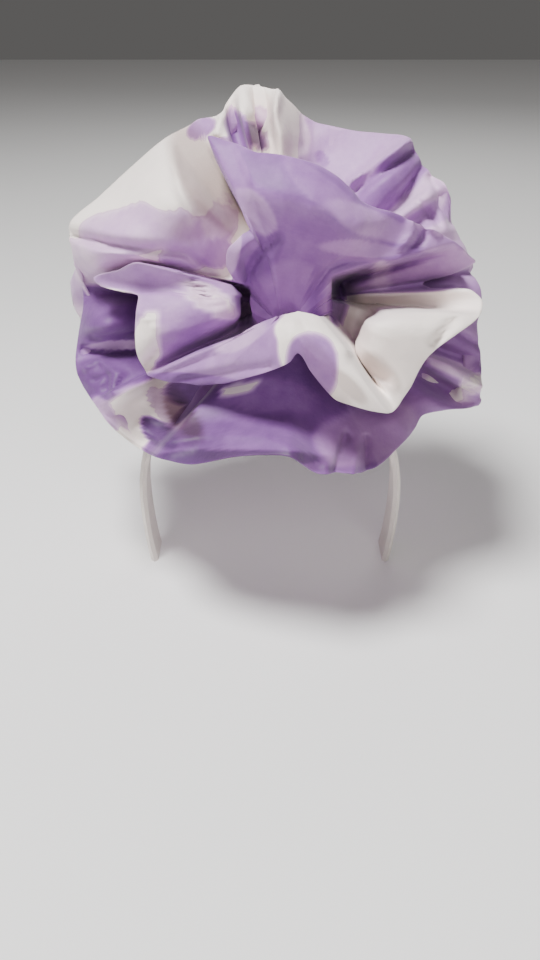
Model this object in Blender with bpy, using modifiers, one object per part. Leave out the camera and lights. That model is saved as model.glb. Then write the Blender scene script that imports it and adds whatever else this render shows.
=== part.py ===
"""Ruffle headband: a big gathered cotton ruffle, folded into a two-tier rosette, on a
cloth-covered band that goes over the head from ear to ear.

Metres, +Z up, the wearer's face towards -Y. The origin is the inner crown point of the
band, where it rests on the top of the head.

The ruffle is one cloth wall. Its folds are rows of FOLDS: each row is one line of cloth
running out of the centre pit, over the front tier, behind it, over the rear tier to the
outer rim, and on down the back to the gather line on the band.
"""

from math import acos, cos, radians, sin

import bpy
from mathutils import Vector

# Driving dimensions, metres and degrees
ROSETTE_WIDTH = 0.242
CLOTH_WALL = 0.0015
FACE_TILT = 21.0

# The rosette's outlines are seen from a point in front of its tilted face. They are in
# reach steps: the rosette is REACH_SPAN steps wide, and the point's distance is
# VIEW_STEPS of them. The middle of that view lies below the rosette.
REACH_SPAN = 424.0
VIEW_STEPS = 1000.0
VIEW_TILT = 28.24
CENTRE_ACROSS = 20.0
CENTRE_ABOVE = 180.0

# The pit, where every line of cloth starts, behind the roll across the centre
PIT_ACROSS = -4.0
PIT_ABOVE = -24.0
PIT_REACH = 9.0
PIT_OUT = 30.0

# Band
BAND_INNER_HALF_WIDTH = 0.0735
BAND_INNER_HEIGHT = 0.132
CROWN_RISE = 0.085
BAND_STRAP_WIDTH = 0.026
BAND_STRAP_THICKNESS = 0.0042
BAND_TIP_PINCH = 0.94
BAND_SECTIONS = 30

# Gather line, where the ruffle is sewn round the band
GATHER_HALF_LENGTH = 0.058
GATHER_HALF_DEPTH = 0.0155
GATHER_LIFT = 0.0062

# Share of a line's sweep at its root, dip and face
SWEEP_SHARES = (1.0, 0.4, 0.08)

# Rows of cloth between two neighbouring folds are added where the turn is wider than this
TURN_STEP = 5.5

# turn: degrees clockwise from up, about the centre. sweep: degrees by which the start of the
# line turns away from its crest. reach: steps from the centre. out: millimetres towards
# the front. root: first rise out of the pit. dip: hollow beside it.
# face: broad part of the front tier. crest: fold edge of the front tier. tuck: valley
# behind it. rear: broad part of the rear tier. rim: fold edge of the rear tier.
COLUMNS = (
    "turn", "sweep", "root_reach", "root_out", "dip_reach", "dip_out", "face_reach", "face_out",
    "crest_reach", "crest_out", "tuck_reach", "tuck_out", "rear_out", "rim_reach", "rim_out",
)
FOLDS = (
    # upper left petal, beside the rolled edge of the central petal
    (-74.0, 0, 42, 28, 48, 14, 54, 8, 62, 4, 92, 8, 36, 231, 6),
    (-70.0, 0, 42, 32, 48, 36, 53, 42, 60, 46, 68, 8, 42, 233, 8),
    (-62.0, 0, 45, 36, 50, 40, 60, 54, 72, 56, 66, 10, 42, 218, 2),
    (-51.0, 0, 48, 43, 58, 46, 68, 60, 80, 62, 74, 14, 46, 208, -4),
    (-42.0, 0, 48, 46, 60, 50, 70, 62, 80, 62, 76, 16, 44, 205, -6),
    (-36.0, 0, 46, 47, 60, 52, 71, 62, 81, 61, 77, 16, 18, 204, -14),
    (-29.5, 0, 46, 48, 58, 54, 72, 62, 82, 60, 78, 14, 4, 202, -18),
    # central petal
    (-27.0, 0, 44, 50, 74, 58, 120, 66, 182, 50, 150, -6, -8, 203, -18),
    (-21.0, 0, 44, 52, 72, 59, 118, 70, 170, 54, 136, -14, -2, 198, -18),
    (-17.5, 0, 44, 52, 66, 59, 112, 74, 162, 58, 126, -18, -34, 208, -30),
    (-13.0, 0, 44, 52, 62, 59, 108, 76, 152, 62, 116, -14, -2, 220, -34),
    (-9.0, 0, 44, 52, 60, 59, 106, 77, 149, 64, 112, -18, -38, 217, -36),
    (-4.0, 0, 44, 52, 60, 59, 104, 78, 146, 66, 112, -14, 0, 210, -32),
    (1.0, 0, 44, 52, 60, 59, 104, 78, 143, 67, 110, -14, -12, 196, -34),
    (8.0, 0, 44, 52, 60, 59, 102, 78, 140, 66, 108, -14, -26, 180, -36),
    (13.0, 0, 44, 52, 60, 59, 100, 78, 138, 65, 106, -14, -30, 179, -32),
    (22.0, 0, 44, 51, 60, 58, 98, 76, 132, 64, 102, -12, -26, 182, -30),
    (30.0, 0, 44, 50, 60, 57, 96, 74, 126, 62, 98, -12, -20, 192, -27),
    (36.0, 0, 44, 49, 60, 55, 94, 72, 122, 60, 96, -10, -2, 201, -24),
    (43.0, 0, 46, 48, 60, 52, 94, 68, 126, 56, 100, -8, -4, 192, -22),
    # right arm over its pocket
    (48.5, -2, 48, 47, 60, 50, 88, 62, 134, 54, 110, -8, -16, 190, -18),
    (53.0, -4, 50, 47, 64, 47, 82, 56, 140, 50, 118, -6, -2, 193, -14),
    (58.0, -6, 51, 46, 68, 46, 84, 52, 145, 46, 126, -6, -14, 189, -16),
    (64.0, -9, 50, 46, 78, 46, 96, 49, 159, 42, 140, -8, -4, 181, -18),
    (70.5, -11, 47, 45, 90, 45, 114, 46, 175, 36, 156, -10, -14, 181, -22),
    (73.0, -9, 45, 44, 56, -26, 84, -4, 180, 32, 160, -10, -14, 183, -23),
    (76.0, -5, 43, 43, 51, -34, 76, -2, 185, 27, 168, -10, -14, 184, -24),
    (78.5, 0, 42, 42, 50, -36, 74, -2, 189, 22, 172, -12, -16, 187, -26),
    (81.0, 0, 41, 41, 50, -36, 74, -4, 164, 12, 150, -14, -16, 182, -28),
    (83.5, 0, 41, 40, 50, -36, 74, -8, 133, 2, 126, -14, -8, 187, -20),
    # lower right cup
    (86.5, 0, 41, 39, 50, -36, 80, 2, 179, 26, 164, -6, -10, 191, -16),
    (90.0, -3, 41, 38, 50, -36, 82, -4, 192, 28, 176, -2, -10, 192, -16),
    (93.0, -6, 41, 37, 52, -34, 84, -10, 192, 32, 176, 0, -8, 191, -16),
    (94.8, -7, 41, 36, 56, -28, 146, 48, 190, 46, 174, 0, -6, 190, -14),
    (97.2, -7, 41, 36, 70, -20, 108, 56, 184, 52, 168, 0, -4, 189, -11),
    (101.0, -8, 41, 35, 76, -14, 98, 62, 172, 58, 157, 0, 0, 192, -6),
    (105.8, -8, 41, 34, 73, -12, 88, 64, 160, 60, 144, 0, 0, 198, -3),
    (111.0, -9, 42, 33, 71, -10, 86, 64, 151, 59, 134, 2, -4, 205, 2),
    (114.5, -10, 42, 32, 70, -8, 86, 63, 148, 58, 130, 0, 20, 209, 8),
    (119.0, -12, 42, 32, 70, -6, 87, 62, 147, 56, 130, 0, -2, 215, 6),
    (125.5, -16, 42, 28, 71, -2, 88, 60, 149, 54, 132, 4, 23, 190, 18),
    (131.0, -21, 41, 26, 76, 8, 92, 58, 150, 56, 132, 8, 29, 176, 26),
    (135.5, -21, 38, 30, 80, 42, 118, 48, 152, 80, 128, 12, 38, 179, 34),
    # arch and roll across the centre
    (139.0, -20, 33, 80, 75, 92, 113, 94, 150, 90, 124, 18, 44, 181, 40),
    (144.0, -22, 26, 82, 50, 93, 90, 96, 137, 90, 110, 28, 46, 183, 48),
    (150.3, -16, 17, 82, 34, 92, 74, 97, 121, 92, 96, 36, 50, 187, 60),
    (156.0, -12, 14, 82, 30, 92, 64, 97, 108, 92, 80, 42, 54, 188, 70),
    (164.0, -4, 13, 82, 24, 92, 46, 96, 74, 94, 56, 44, 56, 180, 84),
    (171.0, 0, 13, 82, 22, 92, 36, 95, 54, 93, 42, 46, 56, 175, 90),
    (180.0, 0, 13, 82, 22, 92, 38, 95, 62, 92, 48, 46, 58, 156, 92),
    (190.0, 0, 14, 82, 23, 92, 42, 94, 69, 90, 54, 46, 58, 157, 90),
    (200.0, 0, 15, 82, 26, 91, 46, 92, 78, 86, 60, 46, 56, 167, 84),
    (211.0, 0, 18, 83, 32, 90, 60, 86, 92, 76, 72, 44, 52, 192, 72),
    (218.0, 0, 21, 87, 44, 87, 73, 80, 106, 66, 84, 40, 50, 203, 62),
    (220.8, 0, 22, 86, 46, 86, 77, 78, 111, 62, 90, 36, 48, 207, 54),
    # lower left cup
    (222.6, 0, 24, 85, 49, 84, 82, 76, 115, 59, 95, 28, 22, 209, 34),
    (227.0, 0, 28, 82, 57, 79, 91, 71, 125, 55, 107, 26, 18, 213, 20),
    (232.0, 0, 36, 78, 66, 73, 100, 65, 135, 52, 117, 25, 17, 217, 22),
    (236.5, -3, 50, 73, 76, 67, 109, 61, 148, 48, 130, 22, 18, 220, 26),
    (241.5, -14, 38, 80, 70, 68, 110, 59, 160, 46, 144, 14, 38, 221, 24),
    # left petal
    (243.3, -14, 40, 22, 62, 0, 96, 14, 161, 36, 146, 6, 18, 222, 12),
    (247.0, 0, 41, 24, 50, -12, 66, 22, 162, 38, 150, 2, 16, 224, 3),
    (251.0, 0, 40, 27, 48, -28, 60, 30, 162, 44, 150, 2, 6, 225, 1),
    (255.0, 0, 40, 28, 47, -32, 58, 34, 160, 46, 148, 2, -2, 222, -4),
    (262.0, 0, 40, 28, 47, -34, 57, 36, 156, 46, 144, 2, 18, 213, -6),
    (268.0, 0, 40, 28, 47, -34, 57, 36, 153, 44, 140, 0, 8, 207, -10),
    (272.0, 0, 40, 28, 47, -34, 57, 35, 153, 40, 138, -2, -10, 207, -12),
    (275.5, 0, 40, 28, 47, -30, 58, 34, 197, 30, 182, 0, -8, 208, -8),
    (280.0, 0, 40, 26, 48, -14, 60, 32, 174, 40, 164, 12, 24, 219, 0),
    (284.0, 0, 41, 27, 50, -6, 66, 30, 156, 48, 150, 22, 34, 226, 6),
)

# Back of the rosette: how far each line of cloth stands off the straight way from the rim
# to the gather line. way: part of that way. stand: metres off it. ripple: share of the
# stand that the back folds take off and add.
BACK_STATIONS = (
    (0.16, 0.006, 0.30),
    (0.34, 0.046, 0.26),
    (0.52, 0.034, 0.20),
    (0.72, 0.068, 0.24),
    (0.88, 0.030, 0.10),
)

# Rise of the cloth over the band's edges and sag of its underside, metres
OVER_BAND = 0.105
UNDER_SAG = 0.012
BACK_FOLDS = 9.0
BACK_FOLDS_FINE = 14.0

CLOTH_COLOUR = (0.50, 0.36, 0.60, 1.0)
BAND_COLOUR = (0.82, 0.78, 0.72, 1.0)


def clear_scene():
    for item in list(bpy.data.objects):
        bpy.data.objects.remove(item, do_unlink=True)


def make_collection():
    group = bpy.data.collections.new("ruffle_headband")
    bpy.context.scene.collection.children.link(group)
    return group


def make_material(name, colour, roughness):
    material = bpy.data.materials.new(name)
    material.use_nodes = True
    shader = material.node_tree.nodes["Principled BSDF"]
    shader.inputs["Base Color"].default_value = colour
    shader.inputs["Roughness"].default_value = roughness
    return material


def mesh_object(group, name, points, faces, material):
    mesh = bpy.data.meshes.new(name)
    mesh.from_pydata(points, [], faces)
    mesh.materials.append(material)
    thing = bpy.data.objects.new(name, mesh)
    group.objects.link(thing)
    return thing


def band_section(angle):
    """Inner point and outward direction of the band, at an angle round it from one ear."""
    place = Vector((-cos(angle) * BAND_INNER_HALF_WIDTH, 0.0, (sin(angle) - 1.0) * CROWN_RISE))
    return place, Vector((-cos(angle), 0.0, sin(angle)))


def front_point(turn, reach, out, across=0.0, above=0.0):
    """The point that is seen at a turn and reach from the centre, at a depth out."""
    face = Vector((0.0, -cos(radians(FACE_TILT)), sin(radians(FACE_TILT))))
    distance = ROSETTE_WIDTH * VIEW_STEPS / REACH_SPAN
    ahead = Vector((0.0, cos(radians(VIEW_TILT)), -sin(radians(VIEW_TILT))))
    upward = Vector((0.0, sin(radians(VIEW_TILT)), cos(radians(VIEW_TILT))))
    right = CENTRE_ACROSS + across + reach * sin(radians(turn))
    rise = CENTRE_ABOVE + above + reach * cos(radians(turn))
    ray = ahead * VIEW_STEPS + upward * rise + Vector((right, 0.0, 0.0))
    return face * distance - ray * ((distance - out * 0.001) / ray.dot(face))


def gather_point(turn):
    """The end of one line of cloth, on the gather line round the band."""
    side = sin(radians(turn))
    across = GATHER_HALF_LENGTH * (side if cos(radians(turn)) > 0.0 else side ** 3)
    place, outward = band_section(acos(-across / BAND_INNER_HALF_WIDTH))
    back = GATHER_HALF_DEPTH * cos(radians(turn))
    return place + outward * GATHER_LIFT + Vector((0.0, back, 0.0))


def back_share(turn):
    """1 for lines that go down the back, 0 for lines that only turn under the front."""
    return max(0.0, min(1.0, 0.5 + 0.75 * cos(radians(turn * 0.86))))


def back_direction(turn):
    way = Vector((0.75 * sin(radians(turn)), 0.9, -0.25 * abs(sin(radians(turn)))))
    return way.normalized()


def back_points(turn, rim):
    """The line of cloth down the back, between the rim and the gather line."""
    end = gather_point(turn)
    signed = (turn + 180.0) % 360.0 - 180.0
    share = back_share(signed)
    lean = sin(radians(signed))
    points = []
    for number, (way, stand, ripple) in enumerate(BACK_STATIONS):
        wave = cos(radians(BACK_FOLDS * turn + 70.0 * number))
        wave += 0.6 * cos(radians(BACK_FOLDS_FINE * turn - 50.0 * number))
        off = stand * share * (1.0 + ripple * wave)
        rise = OVER_BAND * way ** 4 * (1.0 - way) * (0.7 + 0.6 * lean ** 2)
        rise -= UNDER_SAG * 7.0 * way * (1.0 - way) ** 2 * (1.0 - lean ** 2)
        over = Vector((0.0, 0.0, (1.0 - share) * rise))
        points.append(rim.lerp(end, way) + back_direction(signed) * off + over)
    points.append(end)
    return points


def fold_line(fold):
    """Control points of one line of cloth, from the pit to the gather line."""
    row = dict(zip(COLUMNS, fold))
    turn = row["turn"]
    root_turn, dip_turn, face_turn = (turn + row["sweep"] * share for share in SWEEP_SHARES)
    rear_reach = row["tuck_reach"] * 0.4 + row["rim_reach"] * 0.6
    rim = front_point(turn, row["rim_reach"], row["rim_out"])
    points = [
        front_point(turn, PIT_REACH, PIT_OUT, PIT_ACROSS, PIT_ABOVE),
        front_point(root_turn, row["root_reach"], row["root_out"]),
        front_point(dip_turn, row["dip_reach"], row["dip_out"]),
        front_point(face_turn, row["face_reach"], row["face_out"]),
        front_point(turn, row["crest_reach"], row["crest_out"]),
        front_point(turn, row["tuck_reach"], row["tuck_out"]),
        front_point(turn, rear_reach, row["rear_out"]),
        rim,
    ]
    return points + back_points(turn, rim)


def blend(before, start, end, after, share):
    """A smooth curve through the points of a line, at a share of one span."""
    span = max((end - start).length, 1e-6)
    lead = (end - before) * (span / max((end - before).length, 1e-6)) * 0.8
    trail = (after - start) * (span / max((after - start).length, 1e-6)) * 0.8
    two = share * share
    three = two * share
    return (
        start * (2 * three - 3 * two + 1)
        + lead * (three - 2 * two + share)
        + end * (3 * two - 2 * three)
        + trail * (three - two)
    )


# How many cloth rows each span of a fold line has, from the pit to the gather line
SPAN_ROWS = (2, 2, 2, 2, 2, 2, 3, 2, 2, 2, 2, 2, 2)


def smooth_line(points):
    line = []
    for span, rows in enumerate(SPAN_ROWS):
        before = points[max(span - 1, 0)]
        after = points[min(span + 2, len(points) - 1)]
        for row in range(rows):
            line.append(blend(before, points[span], points[span + 1], after, row / rows))
    line.append(points[-1])
    return line


def ruffle_lines():
    """Every line of cloth round the ruffle, with rows added between wide folds."""
    rows = sorted(FOLDS, key=lambda fold: fold[0] % 360.0)
    rows = [(fold[0] % 360.0, fold_line(fold)) for fold in rows]
    count = len(rows)
    lines = []
    for number, (turn, points) in enumerate(rows):
        following = rows[(number + 1) % count][0]
        gap = (following - turn) % 360.0
        pieces = max(1, round(gap / TURN_STEP))
        near = [rows[(number + shift) % count][1] for shift in (-1, 0, 1, 2)]
        for piece in range(pieces):
            share = piece / pieces
            mixed = [
                blend(a, b, c, d, share) for a, b, c, d in zip(*near)
            ]
            lines.append(smooth_line(mixed))
    return lines


def make_ruffle(group):
    lines = ruffle_lines()
    length = len(lines[0])
    count = len(lines)
    points = [tuple(point) for line in lines for point in line]
    faces = []
    for number in range(count):
        this = number * length
        other = (number + 1) % count * length
        for row in range(length - 1):
            faces.append((this + row, this + row + 1, other + row + 1, other + row))
    material = make_material("dyed_cotton", CLOTH_COLOUR, 0.65)
    ruffle = mesh_object(group, "ruffle", points, faces, material)
    wall = ruffle.modifiers.new("cloth_wall", "SOLIDIFY")
    wall.thickness = CLOTH_WALL
    wall.offset = -1.0
    return ruffle


def band_path():
    """The arch over the head, with straight legs down behind the ears."""
    stations = []
    leg = BAND_INNER_HEIGHT - CROWN_RISE
    for step in range(5, 0, -1):
        drop = leg * step / 5.0
        narrow = 1.0 - (1.0 - BAND_TIP_PINCH) * (step / 5.0) ** 2
        place = Vector((-BAND_INNER_HALF_WIDTH * narrow, 0.0, -CROWN_RISE - drop))
        stations.append((place, Vector((-1.0, 0.0, 0.0))))
    for step in range(BAND_SECTIONS + 1):
        stations.append(band_section(radians(180.0 * step / BAND_SECTIONS)))
    for place, outward in reversed(stations[:5]):
        stations.append((Vector((-place.x, 0.0, place.z)), Vector((1.0, 0.0, 0.0))))
    return stations


def make_band(group):
    half = BAND_STRAP_WIDTH / 2.0
    rim = half - BAND_STRAP_THICKNESS / 2.0
    outline = (
        (-rim, 0.0),
        (rim, 0.0),
        (half, BAND_STRAP_THICKNESS / 2.0),
        (rim, BAND_STRAP_THICKNESS),
        (0.0, BAND_STRAP_THICKNESS * 1.12),
        (-rim, BAND_STRAP_THICKNESS),
        (-half, BAND_STRAP_THICKNESS / 2.0),
    )
    stations = band_path()
    points = []
    for place, outward in stations:
        for along, height in outline:
            points.append(tuple(place + outward * height + Vector((0.0, along, 0.0))))
    sides = len(outline)
    faces = [tuple(reversed(range(sides)))]
    for number in range(len(stations) - 1):
        this = number * sides
        for side in range(sides):
            after = (side + 1) % sides
            faces.append((this + side, this + after,
                          this + sides + after, this + sides + side))
    last = (len(stations) - 1) * sides
    faces.append(tuple(range(last, last + sides)))
    material = make_material("band_cloth", BAND_COLOUR, 0.7)
    return mesh_object(group, "headband", points, faces, material)


clear_scene()
collection = make_collection()
make_band(collection)
make_ruffle(collection)
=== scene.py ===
"""Looks of the ruffle headband: dyed cotton ruffle, cloth-covered band, floor and light."""

from math import acos, cos, radians, sin

import bpy
import numpy as np
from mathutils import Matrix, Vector, noise


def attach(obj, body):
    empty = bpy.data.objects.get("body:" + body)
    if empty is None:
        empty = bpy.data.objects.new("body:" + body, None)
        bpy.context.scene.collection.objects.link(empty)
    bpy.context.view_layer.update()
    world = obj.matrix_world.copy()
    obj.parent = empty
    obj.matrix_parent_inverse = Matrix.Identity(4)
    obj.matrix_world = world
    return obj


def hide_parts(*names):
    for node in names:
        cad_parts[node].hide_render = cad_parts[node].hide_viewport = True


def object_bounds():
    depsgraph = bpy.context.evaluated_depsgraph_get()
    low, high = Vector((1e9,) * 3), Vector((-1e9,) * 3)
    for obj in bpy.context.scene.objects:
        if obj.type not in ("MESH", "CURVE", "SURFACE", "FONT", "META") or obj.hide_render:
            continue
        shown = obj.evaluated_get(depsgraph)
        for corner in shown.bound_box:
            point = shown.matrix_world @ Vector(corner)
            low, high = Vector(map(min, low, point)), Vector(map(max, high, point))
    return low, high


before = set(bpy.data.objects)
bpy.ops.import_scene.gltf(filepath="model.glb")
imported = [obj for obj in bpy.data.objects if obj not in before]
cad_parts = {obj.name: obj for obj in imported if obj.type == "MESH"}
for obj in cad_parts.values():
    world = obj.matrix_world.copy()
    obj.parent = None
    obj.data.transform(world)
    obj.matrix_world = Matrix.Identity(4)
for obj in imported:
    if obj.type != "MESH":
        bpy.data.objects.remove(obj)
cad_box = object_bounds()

MILLIMETRE = 0.001
# Points of cloth nearer than this are joined, so that the net closes on itself
SEAM_GAP = 1e-6

# Main sizes, metres and degrees
ROSETTE_WIDTH = 0.242
CLOTH_WALL = 0.0009
FACE_TILT = 21.0
BAND_INNER_HALF_WIDTH = 0.0735
CROWN_RISE = 0.085
GATHER_HALF_LENGTH = 0.058
GATHER_HALF_DEPTH = 0.0155
GATHER_LIFT = 0.0062

# The rosette's outlines are in reach steps, as seen from a point in front of its tilted face
REACH_SPAN = 424.0
VIEW_STEPS = 1000.0
VIEW_TILT = 28.24
VIEW_DISTANCE = ROSETTE_WIDTH * VIEW_STEPS / REACH_SPAN
CENTRE_ACROSS = 20.0
CENTRE_ABOVE = 180.0
PIT_ACROSS = -4.0
PIT_ABOVE = -24.0
PIT_REACH = 9.0
PIT_OUT = 30.0

# Direction the face looks in, and the view's own directions ahead and upward
FACE = np.array([0.0, -cos(radians(FACE_TILT)), sin(radians(FACE_TILT))])
AHEAD = np.array([0.0, cos(radians(VIEW_TILT)), -sin(radians(VIEW_TILT))])
UPWARD = np.array([0.0, sin(radians(VIEW_TILT)), cos(radians(VIEW_TILT))])

# Share of a fold line's sweep at its root, dip and face
SWEEP_SHARES = (1.0, 0.4, 0.08)
# Share of the rim's and the tuck's reach in the reach of the rear point between them
REAR_RIM_SHARE = 0.6
REAR_TUCK_SHARE = 0.4

# Columns of cloth to a degree of turn and the fewest between two fold lines, and rows of
# cloth in each span of a fold line
COLUMNS_PER_DEGREE = 1.4
FEWEST_COLUMNS = 2
SPAN_ROWS = (4, 6, 9, 14, 6, 14, 16, 5, 4, 5, 4, 4, 4)

# Places along a fold line, counted in spans from the pit
CREST_STATION = 4.0
RIM_STATION = 7.0
# Where each part of the cloth begins or ends along a fold line, and how sharply
REAR_START = (CREST_STATION + 0.3, 4.0)
CREASE_END = (RIM_STATION + 0.1, 2.0)
# The painted shade fades out at the rim
PAINTED_SHADE_END = (RIM_STATION, 2.0)
BACK_START = (RIM_STATION + 0.2, 1.2)
COLUMN_END = (0.9, 5.0)
FOLD_EDGE_SHARPNESS = 5.0

# Lines of cloth: the turn of each, the sweep of its inner part, then how far each of its
# points reaches from the centre in steps and how far it stands out in millimetres. The rear
# point has no reach of its own.
FOLDS = (
    # turn, sweep, root reach, out, dip reach, out, face reach, out, crest reach, out,
    # tuck reach, out, rear out, rim reach, out
    # upper left petal, beside the rolled edge of the central petal
    (-74.0, 0, 42, 28, 48, 14, 54, 8, 62, 4, 92, 8, 36, 231, 6),
    (-70.0, 0, 42, 32, 48, 36, 53, 42, 60, 46, 68, 8, 42, 233, 8),
    (-62.0, 0, 45, 36, 50, 40, 60, 54, 72, 56, 66, 10, 42, 218, 2),
    (-51.0, 0, 48, 43, 58, 46, 68, 60, 80, 62, 74, 14, 46, 208, -4),
    (-42.0, 0, 48, 46, 60, 50, 70, 62, 80, 62, 76, 16, 44, 205, -6),
    (-36.0, 0, 46, 47, 60, 52, 71, 62, 81, 61, 77, 16, 18, 204, -14),
    (-29.5, 0, 46, 48, 58, 54, 72, 62, 82, 60, 78, 14, 4, 202, -18),
    # central petal
    (-27.0, 0, 44, 50, 74, 58, 120, 66, 182, 50, 150, -6, -8, 203, -18),
    (-21.0, 0, 44, 52, 72, 59, 118, 70, 170, 54, 136, -14, -2, 198, -18),
    (-17.5, 0, 44, 52, 66, 59, 112, 74, 162, 58, 126, -18, -34, 208, -30),
    (-13.0, 0, 44, 52, 62, 59, 108, 76, 152, 62, 116, -14, -2, 220, -34),
    (-9.0, 0, 44, 52, 60, 59, 106, 77, 149, 64, 112, -18, -38, 217, -36),
    (-4.0, 0, 44, 52, 60, 59, 104, 78, 146, 66, 112, -14, 0, 210, -32),
    (1.0, 0, 44, 52, 60, 59, 104, 78, 143, 67, 110, -14, -12, 196, -34),
    (8.0, 0, 44, 52, 60, 59, 102, 78, 140, 66, 108, -14, -26, 180, -36),
    (13.0, 0, 44, 52, 60, 59, 100, 78, 138, 65, 106, -14, -30, 179, -32),
    (22.0, 0, 44, 51, 60, 58, 98, 76, 132, 64, 102, -12, -26, 182, -30),
    (30.0, 0, 44, 50, 60, 57, 96, 74, 126, 62, 98, -12, -20, 192, -27),
    (36.0, 0, 44, 49, 60, 55, 94, 72, 122, 60, 96, -10, -2, 201, -24),
    (43.0, 0, 46, 48, 60, 52, 94, 68, 126, 56, 100, -8, -4, 192, -22),
    # right arm over its pocket
    (48.5, -2, 48, 47, 60, 50, 88, 62, 134, 54, 110, -8, -16, 190, -18),
    (53.0, -4, 50, 47, 64, 47, 82, 56, 140, 50, 118, -6, -2, 193, -14),
    (58.0, -6, 51, 46, 68, 46, 84, 52, 145, 46, 126, -6, -14, 189, -16),
    (64.0, -9, 50, 46, 78, 46, 96, 49, 159, 42, 140, -8, -4, 181, -18),
    (70.5, -11, 47, 45, 90, 45, 114, 46, 175, 36, 156, -10, -14, 181, -22),
    (73.0, -9, 45, 44, 56, -26, 84, -4, 180, 32, 160, -10, -14, 183, -23),
    (76.0, -5, 43, 43, 51, -34, 76, -2, 185, 27, 168, -10, -14, 184, -24),
    (78.5, 0, 42, 42, 50, -36, 74, -2, 189, 22, 172, -12, -16, 187, -26),
    (81.0, 0, 41, 41, 50, -36, 74, -4, 164, 12, 150, -14, -16, 182, -28),
    (83.5, 0, 41, 40, 50, -36, 74, -8, 133, 2, 126, -14, -8, 187, -20),
    # lower right cup
    (86.5, 0, 41, 39, 50, -36, 80, 2, 179, 26, 164, -6, -10, 191, -16),
    (90.0, -3, 41, 38, 50, -36, 82, -4, 192, 28, 176, -2, -10, 192, -16),
    (93.0, -6, 41, 37, 52, -34, 84, -10, 192, 32, 176, 0, -8, 191, -16),
    (94.8, -7, 41, 36, 56, -28, 146, 48, 190, 46, 174, 0, -6, 190, -14),
    (97.2, -7, 41, 36, 70, -20, 108, 56, 184, 52, 168, 0, -4, 189, -11),
    (101.0, -8, 41, 35, 76, -14, 98, 62, 172, 58, 157, 0, 0, 192, -6),
    (105.8, -8, 41, 34, 73, -12, 88, 64, 160, 60, 144, 0, 0, 198, -3),
    (111.0, -9, 42, 33, 71, -10, 86, 64, 151, 59, 134, 2, -4, 205, 2),
    (114.5, -10, 42, 32, 70, -8, 86, 63, 148, 58, 130, 0, 20, 209, 8),
    (119.0, -12, 42, 32, 70, -6, 87, 62, 147, 56, 130, 0, -2, 215, 6),
    (125.5, -16, 42, 28, 71, -2, 88, 60, 149, 54, 132, 4, 23, 190, 18),
    (131.0, -21, 41, 26, 76, 8, 92, 58, 150, 56, 132, 8, 29, 176, 26),
    (135.5, -21, 38, 30, 80, 42, 118, 48, 152, 80, 128, 12, 38, 179, 34),
    # arch and roll across the centre
    (139.0, -20, 33, 80, 75, 92, 113, 94, 150, 90, 124, 18, 44, 181, 40),
    (144.0, -22, 26, 82, 50, 93, 90, 96, 137, 90, 110, 28, 46, 183, 48),
    (150.3, -16, 17, 82, 34, 92, 74, 97, 121, 92, 96, 36, 50, 187, 60),
    (156.0, -12, 14, 82, 30, 92, 64, 97, 108, 92, 80, 42, 54, 188, 70),
    (164.0, -4, 13, 82, 24, 92, 46, 96, 74, 94, 56, 44, 56, 180, 84),
    (171.0, 0, 13, 82, 22, 92, 36, 95, 54, 93, 42, 46, 56, 175, 90),
    (180.0, 0, 13, 82, 22, 92, 38, 95, 62, 92, 48, 46, 58, 156, 92),
    (190.0, 0, 14, 82, 23, 92, 42, 94, 69, 90, 54, 46, 58, 157, 90),
    (200.0, 0, 15, 82, 26, 91, 46, 92, 78, 86, 60, 46, 56, 167, 84),
    (211.0, 0, 18, 83, 32, 90, 60, 86, 92, 76, 72, 44, 52, 192, 72),
    (218.0, 0, 21, 87, 44, 87, 73, 80, 106, 66, 84, 40, 50, 203, 62),
    (220.8, 0, 22, 86, 46, 86, 77, 78, 111, 62, 90, 36, 48, 207, 54),
    # lower left cup
    (222.6, 0, 24, 85, 49, 84, 82, 76, 115, 59, 95, 28, 22, 209, 34),
    (227.0, 0, 28, 82, 57, 79, 91, 71, 125, 55, 107, 26, 18, 213, 20),
    (232.0, 0, 36, 78, 66, 73, 100, 65, 135, 52, 117, 25, 17, 217, 22),
    (236.5, -3, 50, 73, 76, 67, 109, 61, 148, 48, 130, 22, 18, 220, 26),
    (241.5, -14, 38, 80, 70, 68, 110, 59, 160, 46, 144, 14, 38, 221, 24),
    # left petal
    (243.3, -14, 40, 22, 62, 0, 96, 14, 161, 36, 146, 6, 18, 222, 12),
    (247.0, 0, 41, 24, 50, -12, 66, 22, 162, 38, 150, 2, 16, 224, 3),
    (251.0, 0, 40, 27, 48, -28, 60, 30, 162, 44, 150, 2, 6, 225, 1),
    (255.0, 0, 40, 28, 47, -32, 58, 34, 160, 46, 148, 2, -2, 222, -4),
    (262.0, 0, 40, 28, 47, -34, 57, 36, 156, 46, 144, 2, 18, 213, -6),
    (268.0, 0, 40, 28, 47, -34, 57, 36, 153, 44, 140, 0, 8, 207, -10),
    (272.0, 0, 40, 28, 47, -34, 57, 35, 153, 40, 138, -2, -10, 207, -12),
    (275.5, 0, 40, 28, 47, -30, 58, 34, 197, 30, 182, 0, -8, 208, -8),
    (280.0, 0, 40, 26, 48, -14, 60, 32, 174, 40, 164, 12, 24, 219, 0),
    (284.0, 0, 41, 27, 50, -6, 66, 30, 156, 48, 150, 22, 34, 226, 6),
)

# Back of the rosette: part of the way from the rim to the gather line, metres that the
# cloth stands off it, share of the stand that the back folds take off and add
BACK_STATIONS = (
    # way, stand, ripple
    (0.16, 0.006, 0.30),
    (0.34, 0.046, 0.26),
    (0.52, 0.034, 0.20),
    (0.72, 0.068, 0.24),
    (0.88, 0.030, 0.10),
)
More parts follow.
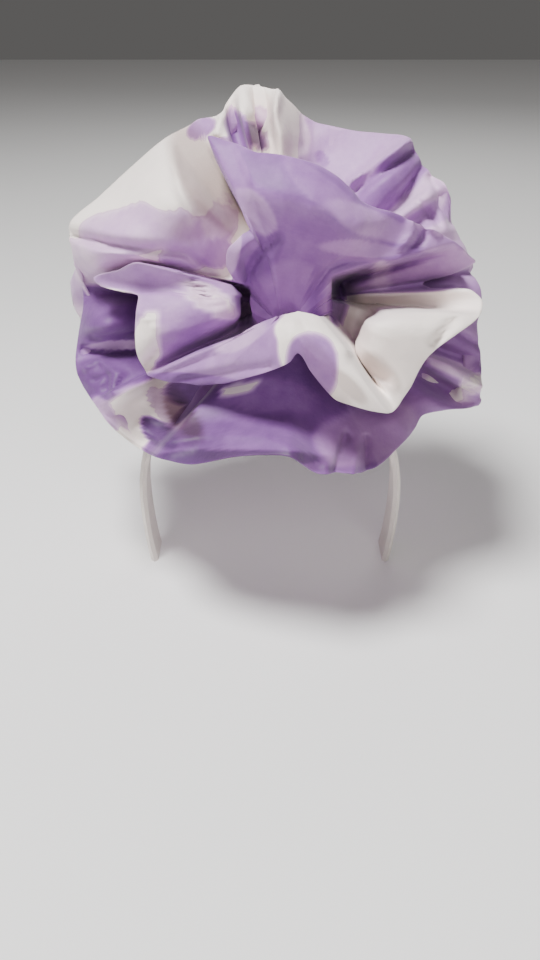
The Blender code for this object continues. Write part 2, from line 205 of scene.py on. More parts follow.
# Coarse and fine back folds in a full turn, how far each station shifts them in degrees, and
# the strength of the fine ones
BACK_FOLDS = 9.0
BACK_FOLDS_FINE = 14.0
BACK_SHIFT = 70.0
BACK_SHIFT_FINE = -50.0
BACK_FINE_STRENGTH = 0.6
# Share of the back in a line of cloth: its middle value, its swing, and how fast it turns
BACK_SHARE_MIDDLE = 0.5
BACK_SHARE_SWING = 0.75
BACK_SHARE_RATE = 0.86
# Direction in which the back stands off: outward at the sides, backward, and upward at the
# sides, so that a minus is downward
BACK_ASIDE = 0.75
BACK_BEHIND = 0.9
BACK_ABOVE = -0.25
# Rise of the cloth over the band's edges, in metres, with its share at the top and bottom
# and what the sides add to it, and sag of the underside, in metres
OVER_BAND = 0.105
OVER_BAND_SHARE = 0.7
OVER_BAND_SIDES = 0.6
UNDER_SAG = 0.012
UNDER_SAG_SHAPE = 7.0

# How freely the cloth rounds over each point of a fold line: 1 is round, 0 is creased. Then
# how much of that is used along the fold lines, and how round the cloth is across them
ROUNDNESS = (1.0, 0.14, 0.7, 0.9, 0.22, 0.3, 1.0, 0.25, 0.6, 0.8, 0.6, 0.8, 1.0, 1.0)
ROUND_ALONG = 0.9
ROUND_AROUND = 0.8

# Dye of each panel of cloth: from and to are turns, tier is 0 in front, 1 behind, 2 on the
# column in the middle, 3 in front but off the column and 4 past the rim, and dye runs from
# 0, bare cream, through lilac and lavender to 1, deep purple
PANEL_DYES = (
    # from, to, tier, dye
    (-76.0, -27.5, 0, 0.64),
    (-27.5, 75.0, 0, 0.69),
    (75.0, 86.0, 0, 0.52),
    (86.0, 132.0, 0, 0.03),
    (132.0, 170.0, 0, 0.02),
    (170.0, 241.0, 0, 0.56),
    (241.0, 246.0, 0, 0.60),
    (246.0, 284.0, 0, 0.52),
    (-74.0, -27.0, 1, 0.03),
    (-86.0, -74.0, 1, 0.27),
    (-27.0, 4.0, 1, 0.03),
    (4.0, 38.0, 1, 0.48),
    (38.0, 47.0, 1, 0.64),
    (47.0, 55.5, 1, 0.34),
    (55.5, 63.0, 1, 0.52),
    (63.0, 80.0, 1, 0.36),
    (80.0, 100.0, 1, 0.50),
    (100.0, 124.0, 1, 0.58),
    (124.0, 152.0, 1, 0.60),
    (152.0, 224.8, 1, 0.78),
    (224.8, 241.0, 1, 0.02),
    (241.0, 254.0, 1, 0.86),
    (254.0, 274.0, 1, 0.78),
    (76.0, 139.0, 2, 0.60),
    (232.0, 284.0, 2, 0.62),
    (198.0, 227.0, 4, 0.80),
)
# Blots over the panels, most of them dye and a few painted shade: place in steps right of and
# above the view's centre, half length, half width, lean in degrees, tier, dye and how much of it
# takes
DYE_AND_PAINTED_SHADE_BLOTS = (
    # across, above, long, wide, lean, tier, dye, take
    # cream petal at upper left
    (-130.0, 252.0, 62, 26, 8, 1, 0.34, 1.0),
    (-72.0, 238.0, 46, 22, 35, 1, 0.36, 1.0),
    (-48.0, 268.0, 30, 16, 60, 1, 0.20, 0.7),
    (-68.0, 352.0, 16, 10, 30, 1, 0.55, 1.0),
    (-102.0, 290.0, 26, 22, 0, 1, 0.02, 1.0),
    (-50.0, 226.0, 18, 14, 0, 1, 0.48, 0.8),
    # top knot
    (-31.0, 349.0, 24, 11, -68, 1, 0.68, 1.0),
    # painted shade: deep purple in the shadowed hollow beside the purple wedge
    (-14.0, 344.0, 16, 7, -58, 1, 0.84, 0.8),
    (-46.0, 337.0, 10, 7, 0, 1, 0.60, 0.7),
    (24.0, 350.0, 30, 16, -70, 1, 0.16, 0.7),
    # panel behind the arm
    (117.0, 294.0, 50, 21, 42, 1, 0.66, 1.0),
    (52.0, 322.0, 9, 5, -50, 1, 0.66, 0.8),
    # central petal and its arm
    (20.0, 302.0, 66, 20, -18, 0, 0.80, 0.7),
    (-15.0, 270.0, 30, 15, -55, 0, 0.42, 0.8),
    (22.0, 188.0, 36, 30, 0, 2, 0.58, 0.9),
    (46.0, 184.0, 34, 8, 84, 2, 0.76, 0.8),
    # painted shade: deep purple in the dark pit right of the column, where the cream cloth lies
    # in shadow
    (67.0, 178.0, 22, 8, 88, 0, 0.92, 0.9),
    (-8.0, 220.0, 34, 12, 54, 0, 0.78, 0.9),
    (-38.0, 224.0, 24, 8, 75, 0, 0.38, 0.9),
    (-36.0, 316.0, 30, 12, -60, 0, 0.64, 0.8),
    (52.0, 290.0, 50, 14, -38, 0, 0.58, 0.6),
    (100.0, 258.0, 46, 14, -24, 0, 0.48, 0.8),
    (90.0, 231.0, 44, 8, -4, 0, 0.52, 0.8),
    (164.0, 238.0, 36, 12, -28, 0, 0.52, 0.9),
    (112.0, 204.0, 10, 16, 0, 0, 0.30, 0.8),
    (88.0, 206.0, 10, 14, 0, 0, 0.66, 0.8),
    # left petal
    (-122.0, 138.0, 34, 14, 80, 0, 0.02, 1.0),
    (-60.0, 180.0, 30, 13, -30, 0, 0.16, 0.9),
    (-84.0, 148.0, 30, 12, 40, 0, 0.60, 0.8),
    (-158.0, 186.0, 26, 6, -8, 0, 0.06, 0.9),
    # roll and arch across the centre
    (35.0, 135.0, 44, 27, 90, 3, 0.02, 1.0),
    (24.0, 150.0, 20, 15, 0, 3, 0.02, 1.0),
    (43.0, 110.0, 36, 27, 90, 0, 0.60, 1.0),
    (-82.0, 98.0, 56, 9, -4, 0, 0.86, 0.8),
    (-30.0, 142.0, 30, 10, 24, 0, 0.38, 0.8),
    # left side behind
    (-150.0, 135.0, 36, 5, 2, 1, 0.24, 0.8),
    (-166.0, 64.0, 12, 22, 30, 1, 0.42, 0.9),
    # lower right gathers
    (182.0, 112.0, 30, 8, -26, 1, 0.24, 0.9),
    (204.0, 96.0, 14, 9, 20, 1, 0.10, 0.9),
    (170.0, 84.0, 30, 8, -26, 1, 0.66, 0.9),
    # broad lower panel
    (-40.0, 47.0, 64, 13, 4, 1, 0.84, 0.9),
    (28.0, 34.0, 34, 11, -36, 1, 0.80, 0.9),
    (-10.0, 84.0, 60, 18, -4, 1, 0.66, 0.8),
    (-30.0, 22.0, 90, 8, 0, 1, 1.00, 0.9),
    (100.0, 48.0, 56, 30, 20, 1, 0.50, 0.8),
    (-38.0, 90.0, 28, 6, 14, 1, 0.08, 1.0),
    # lower left cup
    # painted shade: lilac darkening the shaded inside of the cup
    (-104.0, 72.0, 26, 12, -52, 1, 0.44, 0.6),
    (-76.0, 88.0, 30, 15, -6, 1, 0.84, 1.0),
    (-112.0, 48.0, 22, 11, -40, 1, 0.98, 1.0),
)
# Softness of the edges of blots, in shares of their size, and of panels, in degrees
DYE_SOFTNESS = 0.26
PANEL_SOFTNESS = 1.6
# Dye outside the panels, and on the back: middle, swing and limit
PLAIN_DYE = 0.35
BACK_DYE = 0.40
BACK_DYE_SWING = 0.75
BACK_DYE_LIMIT = 0.95

# Grey-beige painted shade in hollows, under overhangs and on facets turned from the light: place
# in steps right of and above the view's centre, half length, half width, lean in degrees, tier (0
# in front, 1 behind) and how much of it takes
PAINTED_SHADE_BLOTS = (
    # across, above, long, wide, lean, tier, take
    (-64.0, 302.0, 62, 26, -62, 1, 0.75),
    (-74.0, 254.0, 26, 14, 20, 1, 0.40),
    (22.0, 350.0, 36, 22, -66, 1, 0.34),
    (-12.0, 342.0, 16, 9, -60, 1, 0.80),
    (-96.0, 70.0, 38, 18, -54, 1, 0.60),
    (-88.0, 64.0, 30, 13, -50, 1, 1.00),
    (56.0, 106.0, 40, 14, -56, 0, 0.45),
    (78.0, 94.0, 26, 8, -44, 0, 0.55),
    (10.0, 20.0, 90, 9, -4, 1, 0.45),
    (112.0, 108.0, 26, 11, -50, 0, 0.42),
    (84.0, 150.0, 22, 12, -40, 0, 0.25),
    (130.0, 180.0, 60, 8, 4, 0, 0.20),
    (110.0, 46.0, 60, 30, 24, 1, 0.25),
)
# Softness of the edges of the painted shade blots, in shares of their size
PAINTED_SHADE_SOFTNESS = 0.5

# Small folds over the panels: both ends in steps right of and above the view's centre,
# width in steps, height in millimetres towards the front, tier (0 in front, 1 behind)
CREASES = (
    # across, above, across, above, width, height, tier
    # roll along the bottom of the broad lower panel
    (-104.0, 38.0, -66.0, 44.0, 20, 7, 1),
    (-66.0, 44.0, -8.0, 46.0, 22, 8, 1),
    (-8.0, 46.0, 30.0, 30.0, 20, 8, 1),
    (30.0, 30.0, 56.0, 16.0, 16, 7, 1),
    # rolled edge of the central petal
    (-14.0, 272.0, 8.0, 243.0, 11, -4, 0),
    (8.0, 243.0, -14.0, 222.0, 10, -4, 0),
    (-14.0, 222.0, -26.0, 196.0, 10, -5, 0),
    # hook on the right arm
    (142.0, 258.0, 141.0, 246.0, 7, 5, 0),
    (141.0, 246.0, 132.0, 232.0, 7, 5, 0),
    (156.0, 252.0, 148.0, 236.0, 7, -7, 0),
    (146.0, 256.0, 170.0, 248.0, 6, 4, 0),
    # step in the cream petal
    (-99.0, 332.0, -90.0, 290.0, 10, 5, 1),
    (-90.0, 290.0, -76.0, 264.0, 10, 4, 1),
    # crease between the two upper left petals
    (-207.0, 247.0, -160.0, 237.0, 9, -6, 1),
    (-160.0, 237.0, -120.0, 231.0, 10, -8, 1),
    (-120.0, 231.0, -85.0, 228.0, 10, -8, 1),
    (-85.0, 227.0, -65.0, 211.0, 9, -5, 1),
    # pinches in the left petal
    (-90.0, 217.0, -72.0, 192.0, 7, -6, 0),
    (-72.0, 192.0, -56.0, 174.0, 7, -5, 0),
    (-107.0, 142.0, -124.0, 115.0, 8, -6, 0),
    (-130.0, 168.0, -106.0, 142.0, 8, 4, 0),
    # folds inside the lower right cup
    (86.0, 122.0, 112.0, 100.0, 14, -9, 0),
    (165.0, 136.0, 183.0, 158.0, 9, -5, 0),
    # top knot
    (-30.0, 370.0, -20.0, 338.0, 8, 7, 1),
    (-17.0, 360.0, -12.0, 332.0, 9, -16, 1),
    (9.0, 387.0, -5.0, 334.0, 9, 10, 1),
    (32.0, 372.0, 34.0, 336.0, 16, -6, 1),
    (-48.0, 362.0, -54.0, 345.0, 8, 6, 1),
    # panels behind, to the right
    (80.0, 297.0, 138.0, 337.0, 8, 8, 1),
    (86.0, 290.0, 143.0, 329.0, 9, -6, 1),
    (154.0, 316.0, 132.0, 284.0, 8, -6, 1),
    (162.0, 304.0, 182.0, 258.0, 8, -5, 1),
    (174.0, 303.0, 186.0, 276.0, 7, 4, 1),
    (148.0, 280.0, 170.0, 255.0, 7, -4, 1),
    # lower right gathers
    (158.0, 124.0, 210.0, 94.0, 9, 8, 1),
    (160.0, 136.0, 206.0, 118.0, 8, -7, 1),
    (154.0, 106.0, 188.0, 84.0, 8, -6, 1),
    (180.0, 154.0, 208.0, 136.0, 8, -4, 1),
    # gathers under the right end of the lower panel
    (76.0, 42.0, 66.0, 8.0, 9, -8, 1),
    (96.0, 40.0, 98.0, 8.0, 8, -6, 1),
    (86.0, 30.0, 82.0, 4.0, 7, 5, 1),
    # swirl at the left
    (-186.0, 130.0, -136.0, 125.0, 8, -6, 1),
    (-184.0, 112.0, -170.0, 120.0, 7, 4, 1),
    (-170.0, 120.0, -152.0, 106.0, 7, 4, 1),
    (-152.0, 106.0, -158.0, 88.0, 7, 4, 1),
    (-176.0, 100.0, -164.0, 104.0, 7, -4, 1),
    (-164.0, 104.0, -164.0, 90.0, 7, -4, 1),
    (-180.0, 142.0, -136.0, 148.0, 9, -5, 1),
    # curl beside the lower left cup
    (-128.0, 52.0, -104.0, 38.0, 11, 7, 1),
    # soft folds along the roll and the column
    (-108.0, 106.0, -56.0, 124.0, 9, -3, 0),
    (-90.0, 100.0, 0.0, 114.0, 9, -3, 0),
)
# How sharply a small fold rises to its middle line: 1 is straight
CREASE_PEAK = 1.6

# Noises over the cloth: size in metres and shift
WANDER = (0.022, 3.0)
FINE_WANDER = (0.008, 7.0)
CLOUDS = (0.055, 11.0)
FINE_CLOUDS = (0.020, 5.0)
WAVES = (0.030, 21.0)
FINE_WAVES = (0.012, 31.0)
# How much of each noise is used: degrees at panel edges, shares of a blot, shares of the
# clouds, and metres of height for the waves
PANEL_WANDER = 1.2
BLOT_WANDER = 0.20
BLOT_FINE_WANDER = 0.05
FINE_CLOUDS_STRENGTH = 0.4
WAVE_HEIGHT = 0.0012
FINE_WAVE_HEIGHT = 0.0004

# Dyed cotton: how far the slow and the fine noise move the dye, how much dye the fold edges
# lose as a painted highlight and how near them, and millimetres of relief before the strength is
# taken
DYE_CLOUD = 0.30
DYE_GRAIN = 0.16
# Painted highlight: dye taken off along crests and rims so that the fold edges look lit
PAINTED_EDGE_HIGHLIGHT = 0.16
PAINTED_HIGHLIGHT_NEARNESS = 3.0
COTTON_WEAVE = 0.15
COTTON_CREASE = 1.3
COTTON_CRUSH = 0.35
COTTON_RELIEF = 0.45
COTTON_ROUGHNESS = 0.58
COTTON_SHEEN = 0.15
# Band cotton: the same, with the roughness at its least and what the fine noise adds
BAND_CLOUD = 1.6
BAND_GRAIN = 0.5
BAND_WEAVE = 0.2
BAND_RELIEF = 0.3
BAND_ROUGHNESS = 0.56
BAND_ROUGHNESS_GRAIN = 0.1
PAPER_RELIEF = 0.05
# Sockets of a colour mix
MIX_FACTOR = 0
MIX_FIRST = 6
MIX_SECOND = 7
MIX_RESULT = 2

# Photographer's set: sizes in metres, power in watts
FLOOR_SIZE = 6.0
FLOOR_COLOUR = (0.88, 0.87, 0.86)
FLOOR_ROUGHNESS = 0.9
CAMERA_LENS = 37.5
CAMERA_SENSOR = 36.0
CAMERA_NEAR = 0.01
WORLD_COLOUR = (1.0, 0.97, 0.95, 1.0)
WORLD_STRENGTH = 0.11
LIGHTS = (
    # name, place, target, size, power
    ("window", (-0.34, -0.34, 1.22), (0.0, -0.03, 0.06), 0.45, 36.0),
    ("fill", (0.25, -1.3, 0.62), (0.0, 0.0, 0.05), 0.9, 6.0),
    ("back", (0.3, 1.2, 1.0), (0.0, 0.0, 0.05), 0.8, 5.0),
)


def front_point(turn, reach, out, across=0.0, above=0.0):
    """The point that is seen at a turn and reach from the centre, at a depth out."""
    right = CENTRE_ACROSS + across + reach * sin(radians(turn))
    rise = CENTRE_ABOVE + above + reach * cos(radians(turn))
    ray = AHEAD * VIEW_STEPS + UPWARD * rise + np.array([right, 0.0, 0.0])
    return FACE * VIEW_DISTANCE - ray * ((VIEW_DISTANCE - out * MILLIMETRE) / ray.dot(FACE))


def band_section(angle):
    """Inner point and outward direction of the band, at an angle round it from one ear."""
    across = -cos(angle) * BAND_INNER_HALF_WIDTH
    place = np.array([across, 0.0, (sin(angle) - 1.0) * CROWN_RISE])
    return place, np.array([-cos(angle), 0.0, sin(angle)])


def gather_point(turn):
    """The end of one line of cloth, on the gather line round the band."""
    side = sin(radians(turn))
    across = GATHER_HALF_LENGTH * (side if cos(radians(turn)) > 0.0 else side ** 3)
    place, outward = band_section(acos(-across / BAND_INNER_HALF_WIDTH))
    back = GATHER_HALF_DEPTH * cos(radians(turn))
    return place + outward * GATHER_LIFT + np.array([0.0, back, 0.0])


def back_points(turn, rim):
    """The line of cloth down the back, between the rim and the gather line."""
    end = gather_point(turn)
    signed = (turn + 180.0) % 360.0 - 180.0
    swing = BACK_SHARE_SWING * cos(radians(signed * BACK_SHARE_RATE))
    share = max(0.0, min(1.0, BACK_SHARE_MIDDLE + swing))
    lean = sin(radians(signed))
    direction = np.array([BACK_ASIDE * lean, BACK_BEHIND, BACK_ABOVE * abs(lean)])
    direction = direction / np.linalg.norm(direction)
    points = []
    for number, (way, stand, ripple) in enumerate(BACK_STATIONS):
        wave = cos(radians(BACK_FOLDS * turn + BACK_SHIFT * number))
        fine = cos(radians(BACK_FOLDS_FINE * turn + BACK_SHIFT_FINE * number))
        wave += BACK_FINE_STRENGTH * fine
        off = stand * share * (1.0 + ripple * wave)
        spread = OVER_BAND_SHARE + OVER_BAND_SIDES * lean ** 2
        rise = OVER_BAND * way ** 4 * (1.0 - way) * spread
        rise -= UNDER_SAG * UNDER_SAG_SHAPE * way * (1.0 - way) ** 2 * (1.0 - lean ** 2)
        over = np.array([0.0, 0.0, (1.0 - share) * rise])
        points.append(rim + (end - rim) * way + direction * off + over)
    points.append(end)
    return points


def fold_line(fold):
    """Control points of one line of cloth, from the pit to the gather line."""
    (turn, sweep, root_reach, root_out, dip_reach, dip_out, face_reach, face_out, crest_reach,
     crest_out, tuck_reach, tuck_out, rear_out, rim_reach, rim_out) = fold
    rim = front_point(turn, rim_reach, rim_out)
    rear_reach = tuck_reach * REAR_TUCK_SHARE + rim_reach * REAR_RIM_SHARE
    root_turn, dip_turn, face_turn = (turn + sweep * share for share in SWEEP_SHARES)
    return [
        front_point(turn, PIT_REACH, PIT_OUT, PIT_ACROSS, PIT_ABOVE),
        front_point(root_turn, root_reach, root_out),
        front_point(dip_turn, dip_reach, dip_out),
        front_point(face_turn, face_reach, face_out),
        front_point(turn, crest_reach, crest_out),
        front_point(turn, tuck_reach, tuck_out),
        front_point(turn, rear_reach, rear_out),
        rim,
    ] + back_points(turn, rim)


def blend(before, start, end, after, share, start_round=ROUND_AROUND,
          end_round=ROUND_AROUND):
    """Smooth curves through rows of points, at a share of the span from start to end."""
    def length(step):
        return np.maximum(np.linalg.norm(step, axis=-1, keepdims=True), 1e-6)
    span = length(end - start)
    lead = (end - before) * (span / length(end - before)) * start_round
    trail = (after - start) * (span / length(after - start)) * end_round
    two = share * share
    three = two * share
    return (
        start * (2 * three - 3 * two + 1)
        + lead * (three - 2 * two + share)
        + end * (3 * two - 2 * three)
        + trail * (three - two)
    )


def ruffle_net():
    """Points of the cloth, one row of the array to each line of cloth, and their turns."""
    folds = sorted(FOLDS, key=lambda fold: fold[0] % 360.0)
    turns = np.array([fold[0] % 360.0 for fold in folds])
    lines = np.array([fold_line(fold) for fold in folds])
    around, turn_of = [], []
    for number in range(len(folds)):
        near = [lines[(number + shift) % len(folds)] for shift in (-1, 0, 1, 2)]
        gap = (turns[(number + 1) % len(folds)] - turns[number]) % 360.0
        pieces = max(FEWEST_COLUMNS, round(gap * COLUMNS_PER_DEGREE))
        for piece in range(pieces):
            around.append(blend(*near, piece / pieces))
            turn_of.append(turns[number] + gap * piece / pieces)
    around = np.array(around)
    rows = []
    last = around.shape[1] - 1
    for span in range(last):
        before = around[:, max(span - 1, 0)]
        after = around[:, min(span + 2, last)]
        start_round = ROUNDNESS[span] * ROUND_ALONG
        end_round = ROUNDNESS[span + 1] * ROUND_ALONG
        for row in range(SPAN_ROWS[span]):
            rows.append(blend(before, around[:, span], around[:, span + 1], after,
                              row / SPAN_ROWS[span], start_round, end_round))
    rows.append(around[:, last])
    return np.stack(rows, axis=1), np.array(turn_of)


def row_stations():
    """Where each row of the cloth lies along a fold line, counted in spans."""
    stations = [span + row / rows for span, rows in enumerate(SPAN_ROWS) for row in range(rows)]
    return np.array(stations + [float(len(SPAN_ROWS))])


def smooth_step(value):
    value = np.clip(value, 0.0, 1.0)
    return value * value * (3.0 - 2.0 * value)


def within(inward, softness):
    """1 inside a soft edge and 0 outside it, for a distance inward of the edge."""
    return smooth_step(inward / softness + 0.5)


def past(net, place):
    """0 before a place along the fold lines and 1 past it, for each point of the cloth."""
    start, sharpness = place
    step = smooth_step((row_stations() - start) * sharpness)
    return np.broadcast_to(step[None, :], net.shape[:2])


def seen_place(points):
    """Steps right of and above the view's centre at which each point is seen."""
    away = points - FACE * VIEW_DISTANCE
    depth = away @ AHEAD
    return away[..., 0] / depth * VIEW_STEPS, away @ UPWARD / depth * VIEW_STEPS


def cloth_noise(points, kind):
    """Slow noise over the cloth, from -1 to 1, of a kind with its size and shift."""
    size, shift = kind
    moved = points / size + shift
    values = [noise.noise(Vector(point)) for point in moved.reshape(-1, 3)]
    return np.array(values).reshape(moved.shape[:-1])


def creased(net):
    """The net with the small folds pressed into it."""
    across, above = seen_place(net)
    place = np.stack([across, above], axis=-1)
    tier = past(net, REAR_START)
    shows = 1.0 - past(net, CREASE_END)
    up = np.zeros(net.shape[:2])
    down = np.zeros(net.shape[:2])
    for right, rise, right_end, rise_end, width, height, crease_tier in CREASES:
        start = np.array([right, rise])
        run = np.array([right_end, rise_end]) - start
        share = np.clip(((place - start) @ run) / run.dot(run), 0.0, 1.0)
        far = np.linalg.norm(place - start - share[..., None] * run, axis=-1)
        press = height * MILLIMETRE * np.clip(1.0 - far / width, 0.0, 1.0) ** CREASE_PEAK
        press = press * (tier if crease_tier else 1.0 - tier) * shows
        up = np.maximum(up, press)
        down = np.minimum(down, press)
    slow = cloth_noise(net, WAVES) * WAVE_HEIGHT
    slow = slow + cloth_noise(net, FINE_WAVES) * FINE_WAVE_HEIGHT
    return net + (up + down + slow)[..., None] * FACE


def blot_distance(net, right, up, long, wide, lean):
    """How far each point of the cloth is from the middle of a blot: 1 is on its edge."""
    across, above = seen_place(net)
    ahead, side = across - right, above - up
    along = (ahead * cos(radians(lean)) + side * sin(radians(lean))) / long
    over = (side * cos(radians(lean)) - ahead * sin(radians(lean))) / wide
    return np.sqrt(along ** 2 + over ** 2)


def painted_shade_of(net):
    """How much grey-beige painted shade lies on the cloth at each of its points, in hollows,
    under overhangs and on facets turned from the light.
    """
    tier = past(net, REAR_START)
    beige = np.zeros(net.shape[:2])
    for right, up, long, wide, lean, blot_tier, take in PAINTED_SHADE_BLOTS:
        far = blot_distance(net, right, up, long, wide, lean)
        inside = within(1.0 - far, PAINTED_SHADE_SOFTNESS) * take
        beige = np.maximum(beige, inside * (tier if blot_tier else 1.0 - tier))
    return beige * (1.0 - past(net, PAINTED_SHADE_END))


def dye_and_painted_shade_of(net, turns):
    """Dye at each point of the cloth, from the panels, the blots and, behind, noise, with painted
    shade from a few of the blots.
    """
    wander = cloth_noise(net, WANDER)
    fine = cloth_noise(net, FINE_WANDER)
    turn = turns[:, None] + PANEL_WANDER * wander
    tier = past(net, REAR_START)
    column = 1.0 - past(net, COLUMN_END)
    cloudy = cloth_noise(net, CLOUDS) + FINE_CLOUDS_STRENGTH * cloth_noise(net, FINE_CLOUDS)
    behind = np.clip(BACK_DYE + BACK_DYE_SWING * cloudy, 0.0, BACK_DYE_LIMIT)
    past_rim = past(net, BACK_START)
    shares = (1.0 - tier, tier * (1.0 - past_rim), column, (1.0 - tier) * (1.0 - column),
              past_rim)
    dye = PLAIN_DYE + (behind - PLAIN_DYE) * past_rim
    for start, end, panel_tier, strength in PANEL_DYES:
        middle, half = (start + end) / 2.0, (end - start) / 2.0
        away = np.abs((turn - middle + 180.0) % 360.0 - 180.0)
        inside = within(half - away, PANEL_SOFTNESS) * shares[panel_tier]
        dye = dye + (strength - dye) * inside
    for right, up, long, wide, lean, blot_tier, strength, take in DYE_AND_PAINTED_SHADE_BLOTS:
        far = blot_distance(net, right, up, long, wide, lean)
        far = far + BLOT_WANDER * wander + BLOT_FINE_WANDER * fine
        inside = within(1.0 - far, DYE_SOFTNESS) * take * shares[blot_tier]
        dye = dye + (strength - dye) * inside
    return dye


def fold_edge_of(net):
    """1 on the crest and the rim of each point's line of cloth, falling to 0 beside them."""
    near = [1.0 - np.abs(row_stations() - station) * FOLD_EDGE_SHARPNESS
            for station in (CREST_STATION, RIM_STATION)]
    return np.broadcast_to(np.clip(np.maximum(*near), 0.0, 1.0)[None, :], net.shape[:2])


def deselect():
    for item in bpy.context.selected_objects:
        item.select_set(False)


def make_ruffle():
    """The cloth as one closed wall, with its dye, its painted shade and its fold edges, which
    carry a painted highlight, as attributes.
    """
    net, turns = ruffle_net()
    net = creased(net)
    columns, rows = net.shape[0], net.shape[1]
    deselect()
    bpy.ops.mesh.primitive_grid_add(x_subdivisions=columns, y_subdivisions=rows - 1, size=1.0)
    ruffle = bpy.context.object
    ruffle.name = "ruffle_cloth"
    mesh = ruffle.data
    flat = np.empty(len(mesh.vertices) * 3)
    mesh.vertices.foreach_get("co", flat)
    flat = flat.reshape(-1, 3)
    column = np.rint((flat[:, 0] + 0.5) * columns).astype(int) % columns
    row = np.rint((flat[:, 1] + 0.5) * (rows - 1)).astype(int)
    mesh.vertices.foreach_set("co", net[column, row].ravel())
    mesh.update()
    # The painted shade, and the fold edges for the painted highlight, are kept as attributes
    looks = (("dye", dye_and_painted_shade_of(net, turns)), ("beige", painted_shade_of(net)),
             ("fold_edge", fold_edge_of(net)))
    for name, values in looks:
        mesh.attributes.new(name, "FLOAT", "POINT").data.foreach_set("value", values[column, row])
    bpy.ops.object.mode_set(mode="EDIT")
    bpy.ops.mesh.select_all(action="SELECT")
    bpy.ops.mesh.remove_doubles(threshold=SEAM_GAP)
    bpy.ops.object.mode_set(mode="OBJECT")
    bpy.ops.object.shade_smooth()
    wall = ruffle.modifiers.new("cloth_wall", "SOLIDIFY")
    wall.thickness = CLOTH_WALL
    wall.offset = -1.0
    bpy.ops.object.modifier_apply(modifier=wall.name)
    return ruffle


class Wire:
    """A socket that carries a value, so that shader maths reads as plain sums."""

    def __init__(self, nodes, socket):
        self.nodes = nodes
        self.socket = socket

    def maths(self, operation, *values, clamp=False):
        return self.nodes.add("ShaderNodeMath", {"operation": operation, "use_clamp": clamp},
                              dict(enumerate(values)))

    def __add__(self, other):
        return self.maths("ADD", self, other)

    __radd__ = __add__

    def __sub__(self, other):
        return self.maths("SUBTRACT", self, other)

    def __mul__(self, other):
        return self.maths("MULTIPLY", self, other)

    def clamped(self):
        return self.maths("ADD", self, 0.0, clamp=True)

    def power(self, exponent):
        return self.maths("POWER", self, exponent)


class Finish:
    """One material, whose nodes are all made by add."""

    def __init__(self, name):
        self.material = bpy.data.materials.new(name)
        self.material.use_nodes = True
        self.tree = self.material.node_tree
        self.shader = self.tree.nodes["Principled BSDF"]

    def add(self, kind, settings=None, values=None, output=0):
        node = self.tree.nodes.new(kind)
        for key, setting in (settings or {}).items():
            if key == "stops":
                self.set_stops(node.color_ramp, setting)
            else:
                setattr(node, key, setting)
        for key, value in (values or {}).items():
            self.feed(node.inputs[key], value)
        return Wire(self, node.outputs[output])

    def feed(self, socket, value):
        if isinstance(value, Wire):
            self.tree.links.new(value.socket, socket)
        else:
            socket.default_value = value

    def set_stops(self, ramp, stops):
        while len(ramp.elements) > 1:
            ramp.elements.remove(ramp.elements[-1])
        ramp.elements[0].position = stops[0][0]
        ramp.elements[0].color = (*stops[0][1], 1.0)
        for place, colour in stops[1:]:
            ramp.elements.new(place).color = (*colour, 1.0)

    def attribute(self, name):
        return self.add("ShaderNodeAttribute", {"attribute_name": name}, output="Fac")

    def place(self):
        return self.add("ShaderNodeTexCoord", output="Object")

    def noise(self, vector, scale, detail, roughness):
        return self.add("ShaderNodeTexNoise", None,
                        {"Vector": vector, "Scale": scale, "Detail": detail,
                         "Roughness": roughness})

    def bump(self, height, strength):
        return self.add("ShaderNodeBump", None, {"Strength": strength, "Distance": MILLIMETRE,
                                                 "Height": height})

    def set(self, **values):
        for key, value in values.items():
            self.feed(self.shader.inputs[key.replace("_", " ")], value)


def linear(red, green, blue):
    """A colour given as 0 to 255 screen values."""
    return tuple(((value / 255.0 + 0.055) / 1.055) ** 2.4 for value in (red, green, blue))


DYE_STOPS = (
    (0.00, linear(252, 240, 233)),
    (0.13, linear(249, 235, 230)),
    (0.18, linear(212, 178, 206)),
    (0.24, linear(222, 192, 219)),
    (0.38, linear(196, 156, 202)),
    (0.54, linear(166, 120, 180)),
    (0.70, linear(134, 86, 154)),
    (0.85, linear(104, 60, 124)),
    (1.00, linear(74, 38, 92)),
)
# Grey-beige shadow tone that the painted shade multiplies into the cloth
PAINTED_SHADE_TONE = (*linear(160, 144, 140), 1.0)
BAND_STOPS = (
    (0.0, linear(222, 212, 206)),
    (1.0, linear(240, 232, 222)),
)


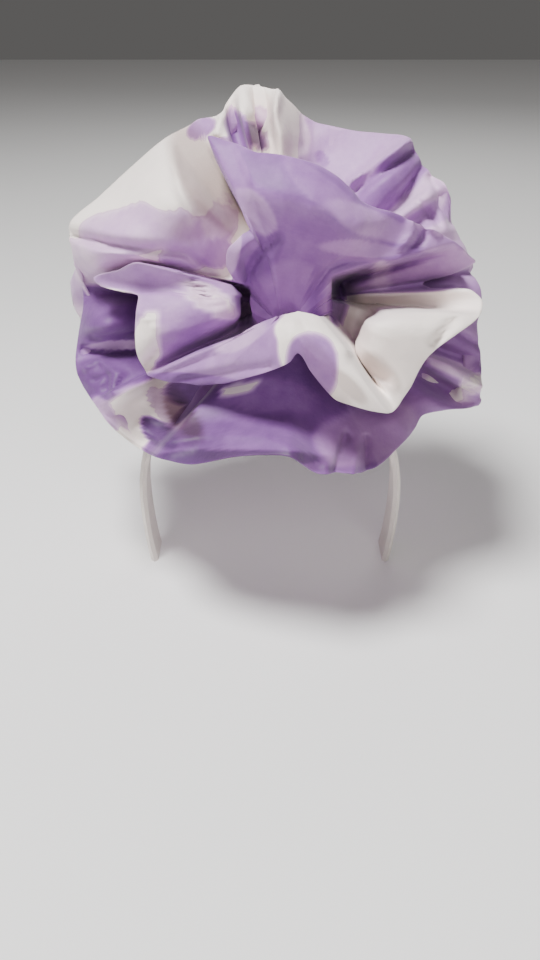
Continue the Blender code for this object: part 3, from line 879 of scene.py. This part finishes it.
def dyed_cotton():
    """Crisp cream cotton with marbled watercolour dye, a grey-beige painted shade, a painted
    highlight along the fold edges and a fine weave.
    """
    finish = Finish("dyed_cotton")
    place = finish.place()
    slow = finish.noise(place, scale=26.0, detail=5.0, roughness=0.62)
    fine = finish.noise(place, scale=110.0, detail=5.0, roughness=0.65)
    dye = finish.attribute("dye") + (slow - 0.5) * DYE_CLOUD + (fine - 0.5) * DYE_GRAIN
    # Painted highlight: the dye thins along crests and rims, so that the fold edges look lit
    dye = dye - finish.attribute("fold_edge").power(PAINTED_HIGHLIGHT_NEARNESS) * PAINTED_EDGE_HIGHLIGHT
    colour = finish.add("ShaderNodeValToRGB", {"stops": DYE_STOPS}, {"Fac": dye.clamped()})
    # Painted shade: the colour is multiplied towards the grey-beige shadow tone
    colour = finish.add("ShaderNodeMix", {"data_type": "RGBA", "blend_type": "MULTIPLY"},
                        {MIX_FACTOR: finish.attribute("beige"), MIX_FIRST: colour,
                         MIX_SECOND: PAINTED_SHADE_TONE}, output=MIX_RESULT)
    weave = finish.noise(place, scale=1400.0, detail=2.0, roughness=0.5)
    crease = finish.noise(place, scale=70.0, detail=5.0, roughness=0.62)
    crush = finish.noise(place, scale=240.0, detail=3.0, roughness=0.6)
    height = weave * COTTON_WEAVE + crease * COTTON_CREASE + crush * COTTON_CRUSH
    bump = finish.bump(height, COTTON_RELIEF)
    finish.set(Base_Color=colour, Roughness=COTTON_ROUGHNESS, Sheen_Weight=COTTON_SHEEN,
               Normal=bump)
    return finish.material


def band_cotton():
    """Plain cream cotton over the band, with a woven grain and a faint mottle."""
    finish = Finish("band_cotton")
    place = finish.place()
    slow = finish.noise(place, scale=34.0, detail=4.0, roughness=0.6)
    fine = finish.noise(place, scale=150.0, detail=4.0, roughness=0.6)
    mottle = 0.5 + (slow - 0.5) * BAND_CLOUD + (fine - 0.5) * BAND_GRAIN
    colour = finish.add("ShaderNodeValToRGB", {"stops": BAND_STOPS}, {"Fac": mottle.clamped()})
    weave = finish.noise(place, scale=1400.0, detail=2.0, roughness=0.5)
    soft = finish.noise(place, scale=90.0, detail=3.0, roughness=0.55)
    bump = finish.bump(weave * BAND_WEAVE + soft, BAND_RELIEF)
    roughness = BAND_ROUGHNESS + fine * BAND_ROUGHNESS_GRAIN
    finish.set(Base_Color=colour, Roughness=roughness, Sheen_Weight=COTTON_SHEEN, Normal=bump)
    return finish.material


def paper(name, colour, roughness):
    """Plain paper with a faint grain."""
    finish = Finish(name)
    grain = finish.noise(finish.place(), scale=900.0, detail=3.0, roughness=0.6)
    bump = finish.bump(grain, PAPER_RELIEF)
    finish.set(Base_Color=(*colour, 1.0), Roughness=roughness, Normal=bump)
    return finish.material


def make_floor():
    deselect()
    bpy.ops.mesh.primitive_plane_add(size=FLOOR_SIZE, location=(0.0, 0.0, cad_box[0][2]))
    floor = bpy.context.object
    floor.name = "floor"
    floor.data.materials.append(paper("floor_paper", FLOOR_COLOUR, FLOOR_ROUGHNESS))


def make_camera():
    """A camera at the point from which the rosette's outlines are seen."""
    data = bpy.data.cameras.new("camera")
    camera = bpy.data.objects.new("camera", data)
    bpy.context.scene.collection.objects.link(camera)
    data.lens = CAMERA_LENS
    data.sensor_width = CAMERA_SENSOR
    data.sensor_fit = "AUTO"
    data.clip_start = CAMERA_NEAR
    camera.location = FACE * VIEW_DISTANCE
    camera.rotation_euler = (radians(90.0 - VIEW_TILT), 0.0, 0.0)
    bpy.context.scene.camera = camera


def make_light(name, place, target, size, power):
    data = bpy.data.lights.new(name, "AREA")
    data.shape = "DISK"
    data.size = size
    data.energy = power
    light = bpy.data.objects.new(name, data)
    bpy.context.scene.collection.objects.link(light)
    light.location = place
    aim = Vector(target) - Vector(place)
    light.rotation_euler = aim.to_track_quat("-Z", "Y").to_euler()


def make_world():
    world = bpy.data.worlds.new("studio")
    bpy.context.scene.world = world
    world.use_nodes = True
    background = world.node_tree.nodes["Background"]
    background.inputs["Color"].default_value = WORLD_COLOUR
    background.inputs["Strength"].default_value = WORLD_STRENGTH


ruffle = make_ruffle()
ruffle.data.materials.clear()
ruffle.data.materials.append(dyed_cotton())
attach(ruffle, "root")
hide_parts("ruffle")

band = bpy.data.objects["headband"]
band_finish = band_cotton()
for material_slot in band.material_slots:
    material_slot.material = band_finish

make_floor()
make_camera()
make_world()
for light_row in LIGHTS:
    make_light(*light_row)
